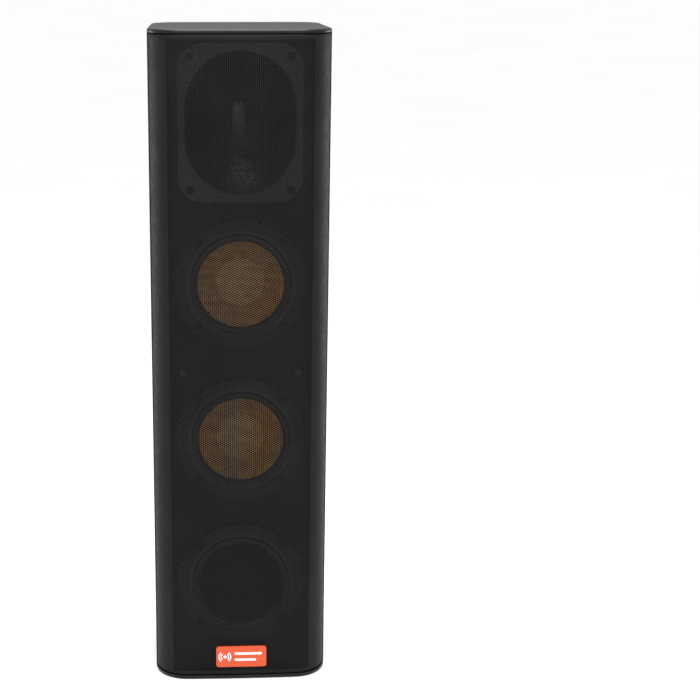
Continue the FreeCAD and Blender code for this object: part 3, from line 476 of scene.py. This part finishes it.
def perforated_sheet():
    """Vertices of the whole sheet, and the faces of each band from the lowest up."""
    path = SheetPath()
    low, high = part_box("grille")
    step, half = HOLE_PITCH * math.sqrt(0.75), HOLE_PITCH / 2
    columns = 2 * int(PERFORATED / step) + 1
    count = 2 * int((high.z - low.z - 2 * MARGIN) / HOLE_PITCH)
    middle = (low.z + high.z) / 2
    levels = [middle + (j - count / 2) * half for j in range(count + 1)]
    outer, inner, first = grille_rows(low.z, high.z, levels)
    edge = columns * step / 2
    margin = [edge + (path.end - edge) * (k / SIDE_STEPS) for k in range(1, SIDE_STEPS + 1)]
    holed_lines = [(c - columns / 2) * step for c in range(columns + 1)]
    lines = [-m for m in reversed(margin)] + holed_lines + margin
    left = len(margin)
    rows = len(outer)
    verts = []
    for s in lines:
        x, y, nx, ny = path.at(s)
        verts += [(x + nx * d, y + ny * d, z) for d, z in outer]
        verts += [(x + nx * d, y + ny * d, z) for d, z in inner]

    def index(column, row, skin):  # skin 0 is the outer one
        return column * 2 * rows + skin * rows + row

    bands = [[] for _ in range(BANDS)]

    def band(row):
        return bands[min(BANDS - 1, max(0, (row - first) // 2 * 2 * BANDS // count))]

    def plain(column, row):
        faces = band(row)
        a, b, c, d = ((column, row), (column + 1, row), (column + 1, row + 1), (column, row + 1))
        faces.append([index(*p, 0) for p in (a, b, c, d)])
        faces.append([index(*p, 1) for p in (d, c, b, a)])

    def holed(column, row):
        faces = band(row)
        s, z = (lines[column] + lines[column + 1]) / 2, outer[row + 1][1]
        rim = [(column + 1, row + 1), (column + 1, row + 2), (column, row + 2)]
        rim += [(column, row + 1), (column, row), (column + 1, row)]
        start = len(verts)
        for depth in (0.0, GRILLE_T):
            for k in range(6):
                x, y, nx, ny = path.at(s + HOLE_R * math.cos(math.pi * k / 3))
                verts.append((x + nx * depth, y + ny * depth, z + HOLE_R * math.sin(math.pi * k / 3)))
        for k in range(6):
            n = (k + 1) % 6
            faces.append([index(*rim[k], 0), index(*rim[n], 0), start + n, start + k])
            faces.append([start + k, start + n, start + 6 + n, start + 6 + k])
            faces.append([start + 6 + k, start + 6 + n, index(*rim[n], 1), index(*rim[k], 1)])

    for column in range(len(lines) - 1):
        row = 0
        inside = left <= column < left + columns
        shift = (column - left) % 2
        while row < rows - 1:
            at = row - first
            if inside and 0 <= at - shift and at + 2 <= count and (at - shift) % 2 == 0:
                holed(column, row)
                row += 2
            else:
                plain(column, row)
                row += 1
    last = len(lines) - 1
    for row in range(rows - 1):
        faces, up = band(row), row + 1
        faces.append([index(0, row, 1), index(0, row, 0), index(0, up, 0), index(0, up, 1)])
        faces.append([index(last, row, 0), index(last, row, 1), index(last, up, 1), index(last, up, 0)])
    for column in range(last):
        for row, (a, b), faces in ((0, (1, 0), bands[0]), (rows - 1, (0, 1), bands[-1])):
            corners = ((column, a), (column + 1, a), (column + 1, b), (column, b))
            faces.append([index(across, row, skin) for across, skin in corners])
    return np.array(verts), bands


def build_grille():
    """The whole sheet, as bands small enough to handle."""
    verts, bands = perforated_sheet()
    for number, faces in enumerate(bands, 1):
        used = sorted({i for f in faces for i in f})
        lookup = {old: new for new, old in enumerate(used)}
        obj = new_object(f"grille_band_{number}", verts[used], [[lookup[i] for i in f] for f in faces])
        smooth_by_angle(obj, 30)
        add_piece(obj, MATERIALS["grille"], replaces=("grille",))


# --- Badge mark ---

MARK_RAISE, MARK_SINK = 0.15 * MM, 0.05 * MM  # out of and into the badge's face
DOT_X = -14.5 * MM  # from the badge's middle
DOT_R, DOT_HOLE = 1.5 * MM, 0.0002 * MM  # the hole is too small to see
WAVE_RADII, WAVE_WIDTH = (2.8, 4.7), 1.0  # mm
BAR_Z, BAR_HEIGHT = 2.9 * MM, 2.2 * MM
BAR_START, LONG_END, SHORT_END = -5.0 * MM, 17.0 * MM, 12.0 * MM


def ring_sector(x, z, r0, r1, a0, a1, steps=14):
    """Flat band of a ring between two angles, as outline points."""
    angles = [math.radians(a0 + (a1 - a0) * k / steps) for k in range(steps + 1)]
    out = [(x + r1 * math.cos(a), z + r1 * math.sin(a)) for a in angles]
    return out + [(x + r0 * math.cos(a), z + r0 * math.sin(a)) for a in reversed(angles)]


def bar(x0, x1, z, height):
    """Flat bar with round ends, as outline points."""
    r, points = height / 2, 9
    right_turn = np.linspace(-math.pi / 2, math.pi / 2, points)
    left_turn = np.linspace(math.pi / 2, math.pi * 1.5, points)
    right = [(x1 + r * math.cos(a), z + r * math.sin(a)) for a in right_turn]
    return right + [(x0 + r * math.cos(a), z + r * math.sin(a)) for a in left_turn]


def build_badge_mark():
    """Plain mark on the badge: a dot with sound waves, and two bars."""
    low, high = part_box("badge")
    cx, cz = (low.x + high.x) / 2, (low.z + high.z) / 2
    x, front, back = cx + DOT_X, low.y - MARK_RAISE, low.y + MARK_SINK
    shapes = [ring_sector(x, cz, DOT_HOLE, DOT_R, 0, 360, 28)]
    for r in WAVE_RADII:
        for start, end in ((-52, 52), (128, 232)):
            shapes.append(ring_sector(x, cz, r * MM, (r + WAVE_WIDTH) * MM, start, end))
    shapes.append(bar(cx + BAR_START, cx + LONG_END, cz + BAR_Z, BAR_HEIGHT))
    shapes.append(bar(cx + BAR_START, cx + SHORT_END, cz - BAR_Z, BAR_HEIGHT))
    verts, faces = [], []
    for outline in shapes:
        start, n = len(verts), len(outline)
        verts += [(px, front, pz) for px, pz in outline] + [(px, back, pz) for px, pz in outline]
        faces.append(list(range(start, start + n)))
        ring = [(k, (k + 1) % n) for k in range(n)]
        faces += [[start + k, start + n + k, start + n + m, start + m] for k, m in ring]
    obj = new_object("badge_mark", verts, faces)
    add_piece(obj, MATERIALS["white_plastic"])


# --- Small details at the back ---

CAP_GAP = 0.75 * MM  # dark ring round each rubber cap
# Section of a cap's dished head: (step in from its edge, step down from its rim)
CAP_HEAD = ((2.0, 0.4), (1.5, 0.08), (1.1, 0.0), (0.5, 0.0), (0.12, 0.15), (0.0, 0.5))  # mm
CAP_DISH = 0.45 * MM  # depth of the dish at its middle
STEM_R, STEM_CHAMFER, STEM_LENGTH = 4.3 * MM, 0.4 * MM, 4 * MM
THREAD_PITCH, THREAD_DEPTH = 1.25 * MM, 0.55 * MM
THREAD_BORE, THREAD_WALL = 3.4 * MM, 0.1 * MM  # radius, and what is hidden in the brass behind it
THREAD_START, THREAD_STOP = 0.6 * MM, 1.3 * MM  # from the ends of the insert
CONTACT_X = (-3.5, -1.0, 1.0, 3.5)  # mm
CONTACT_SIZE = Vector((1.0 * MM, 8.5 * MM, 0.3 * MM))
CONTACT_SETBACK = 5.2 * MM  # from the tongue's open end to a contact's middle
CONTACT_EDGE = 0.06 * MM


def build_screw_caps():
    """Dished rubber plugs, each with a raised rim, a gap round it and a stem behind."""
    shapes = []
    for low, high in islands("screw_caps"):
        x, z = (low.x + high.x) / 2, (low.z + high.z) / 2
        r, top, end = (high.x - low.x) / 2 - CAP_GAP, high.y, low.y
        shoulder = end + STEM_LENGTH
        rings = [(0.0, top - CAP_DISH)] + [(r - a * MM, top - b * MM) for a, b in CAP_HEAD]
        rings += [(r, shoulder), (STEM_R, shoulder), (STEM_R, end + STEM_CHAMFER)]
        rings += [(STEM_R - STEM_CHAMFER, end), (0.0, end)]
        shapes.append(lathe(rings, x, z))
    obj = new_object("rubber_caps", *joined(shapes))
    tidy_mesh(obj)
    smooth_by_angle(obj, 40)
    add_piece(obj, MATERIALS["cap"], replaces=("screw_caps",))


def build_threads():
    """Ridged bore inside each brass insert; plain rings stand for the thread's turns."""
    shapes = []
    for low, high in islands("bracket_inserts"):
        x, z = (low.x + high.x) / 2, (low.z + high.z) / 2
        start, end = low.y + THREAD_START, high.y - THREAD_STOP
        outer = [(THREAD_BORE + THREAD_WALL, end), (THREAD_BORE + THREAD_WALL, start)]
        count = int((end - start) / THREAD_PITCH * 2)
        crests = []
        for k in range(count + 1):
            crests.append((THREAD_BORE - THREAD_DEPTH * (k % 2), start + (end - start) * k / count))
        shapes.append(lathe(outer + crests + outer[:1], x, z))
    obj = new_object("insert_threads", *joined(shapes))
    tidy_mesh(obj)
    add_piece(obj, MATERIALS["brass"])


def build_usb_contacts():
    """Four contact strips along the top of the socket's tongue."""
    low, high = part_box("usb_tongue")
    cx, mesh = (low.x + high.x) / 2, bmesh.new()
    for x in CONTACT_X:
        made = bmesh.ops.create_cube(mesh, size=1.0)
        place = Vector((cx + x * MM, high.y - CONTACT_SETBACK, high.z))
        for vertex in made["verts"]:
            vertex.co = Vector(a * b for a, b in zip(vertex.co, CONTACT_SIZE)) + place
    bmesh.ops.bevel(mesh, geom=mesh.edges[:], offset=CONTACT_EDGE, segments=2, affect="EDGES")
    data = bpy.data.meshes.new("usb_contacts")
    mesh.to_mesh(data)
    mesh.free()
    obj = bpy.data.objects.new("usb_contacts", data)
    bpy.context.scene.collection.objects.link(obj)
    add_piece(obj, MATERIALS["brass"])


# --- Felt ---

FELT_WIDE, FELT_TALL = 24, 160  # squares of mesh over a pad
FELT_EDGE = 4 * MM  # the pads thin out over this width
FELT_LEAST = 0.25  # thickness at the very edge, as a part of the whole
LUMP_MEAN, LUMP_SWING, LUMP_SCALE = 0.78, 0.22, 90


def felt_thickness(y, z, low, high, number):
    """Thickness of a pad at one place, as a part of the CAD pad's thickness."""
    rim = min(y - low.y, high.y - y, z - low.z, high.z - z)
    round_off = min(1.0, rim / FELT_EDGE) ** 0.5
    lumps = LUMP_MEAN + LUMP_SWING * noise.noise(Vector((y * LUMP_SCALE, z * LUMP_SCALE, number)))
    return (FELT_LEAST + (1 - FELT_LEAST) * round_off) * lumps


def felt_verts(low, high, number):
    """Points on the wall, then the points of the pad's free face over them."""
    wall, inside = (high.x, low.x) if low.x > 0 else (low.x, high.x)
    verts = []
    for depth in (0.0, 1.0):
        for i in range(FELT_WIDE + 1):
            for j in range(FELT_TALL + 1):
                y = low.y + (high.y - low.y) * i / FELT_WIDE
                z = low.z + (high.z - low.z) * j / FELT_TALL
                thick = felt_thickness(y, z, low, high, number)
                verts.append((wall + (inside - wall) * thick * depth, y, z))
    return verts


def felt_faces():
    """Both faces of a pad and the narrow wall that joins them."""
    wide, tall = FELT_WIDE, FELT_TALL
    n, m = tall + 1, (wide + 1) * (tall + 1)
    faces = []
    for i in range(wide):
        for j in range(tall):
            a = i * n + j
            faces.append((a, a + 1, a + n + 1, a + n))
            faces.append((m + a, m + a + n, m + a + n + 1, m + a + 1))
    edge = [i * n for i in range(wide + 1)] + [wide * n + j for j in range(1, n)]
    edge += [i * n + tall for i in range(wide - 1, -1, -1)] + list(range(tall - 1, 0, -1))
    return faces + [(a, b, m + b, m + a) for a, b in zip(edge, edge[1:] + edge[:1])]


def build_damping_pads():
    """Thick felt glued inside each side wall, lumpy and thin at its edges."""
    for number, (low, high) in enumerate(islands("damping_pads"), 1):
        pad = new_object(f"felt_pad_{number}", felt_verts(low, high, number), felt_faces())
        tidy_mesh(pad)
        smooth_by_angle(pad, 60)
        add_piece(pad, MATERIALS["wadding"], replaces=("damping_pads",))


# --- Studio ---

SKY_DIM, SKY_BRIGHT = 0.2, 1.5
SKY_LEAN = 0.3  # how far the brightest part of the sky leans forward from overhead
FLOOR_HALF, FLOOR_RINGS = 30.0, 24
FLOOR_CROWDING = 2.2  # the floor's squares are small near the speaker
FLOOR_Z = -0.0002


def build_floor():
    """White floor that runs out of the picture on every side."""
    steps = np.linspace(-1, 1, 2 * FLOOR_RINGS + 1)
    ticks = [FLOOR_HALF * math.copysign(abs(t) ** FLOOR_CROWDING, t) for t in steps]
    n = len(ticks)
    verts = [(x, y, FLOOR_Z) for x in ticks for y in ticks]
    faces = []
    for i in range(n - 1):
        for j in range(n - 1):
            a = i * n + j
            faces.append((a, a + n, a + n + 1, a + 1))
    floor = new_object("floor", verts, faces, True)
    f = Finish("studio_floor", 0.7, specular=0.2)
    f.colour(f.blend(f.remap(f.noise(1.5, 2), 0, 1), (0.86, 0.86, 0.86), (0.88, 0.88, 0.88)))
    floor.data.materials.append(f.material)


def area_light(name, place, target, size, watts, spread):
    """Rectangular lamp aimed at a target; the camera does not see it."""
    data = bpy.data.lights.new(name, "AREA")
    data.shape = "RECTANGLE"
    data.size, data.size_y = size
    data.energy = watts
    data.spread = math.radians(spread)
    lamp = bpy.data.objects.new(name, data)
    bpy.context.scene.collection.objects.link(lamp)
    lamp.location = place
    lamp.rotation_euler = (Vector(target) - Vector(place)).to_track_quat("-Z", "Y").to_euler()
    lamp.visible_camera = False


def build_world():
    """White sky, brightest overhead and towards the front, dimmest low down behind the speaker."""
    world = bpy.data.worlds.new("studio")
    bpy.context.scene.world = world
    world.use_nodes = True
    tree = world.node_tree
    towards = tree.nodes.new("ShaderNodeVectorMath")
    towards.operation = "DOT_PRODUCT"
    towards.inputs[1].default_value = (0.0, -SKY_LEAN, 1.0)
    tree.links.new(tree.nodes.new("ShaderNodeTexCoord").outputs["Generated"], towards.inputs[0])
    ramp = tree.nodes.new("ShaderNodeMapRange")
    for socket, number in (("From Min", -SKY_LEAN), ("To Min", SKY_DIM), ("To Max", SKY_BRIGHT)):
        ramp.inputs[socket].default_value = number
    tree.links.new(towards.outputs["Value"], ramp.inputs["Value"])
    background = tree.nodes["Background"]
    background.inputs["Color"].default_value = (1.0, 1.0, 1.0, 1.0)
    tree.links.new(ramp.outputs["Result"], background.inputs["Strength"])


def build_lights():
    """A lamp above the front, one above the back, and a strip at each side of the back."""
    area_light("key", (0.0, -0.48, 1.14), (0, -0.06, 0.46), (0.6, 0.3), 7.0, 150)
    area_light("back_key", (0.0, 0.42, 1.2), (0, 0.06, 0.44), (0.5, 0.3), 3.4, 150)
    for side, name in ((-1, "left"), (1, "right")):
        area_light("strip_" + name, (side * 0.85, 0.42, 0.33), (0, 0, 0.33), (0.14, 0.58), 1.0, 110)


# Worked out from the outline of the front view in the photograph
CAMERA_PLACE = (-0.0507, -1.287, 0.6209)
CAMERA_DOWN, CAMERA_RIGHT = 14.7, 2.5  # degrees below level, and right of straight ahead
CAMERA_LENS, CAMERA_SHIFT = 78.0, 0.151


def build_camera():
    """Camera of the photograph's front view, which stands at the left of the picture."""
    data = bpy.data.cameras.new("camera")
    data.sensor_width = 36.0
    data.lens = CAMERA_LENS
    data.shift_x = CAMERA_SHIFT
    camera = bpy.data.objects.new("camera", data)
    bpy.context.scene.collection.objects.link(camera)
    camera.location = CAMERA_PLACE
    camera.rotation_euler = (math.radians(90 - CAMERA_DOWN), 0, math.radians(-CAMERA_RIGHT))
    bpy.context.scene.camera = camera


bpy.context.scene.view_settings.view_transform = "Standard"
dress_frame()
build_grille()
build_badge_mark()
build_screw_caps()
build_threads()
build_usb_contacts()
build_damping_pads()
build_floor()
build_world()
build_lights()
build_camera()
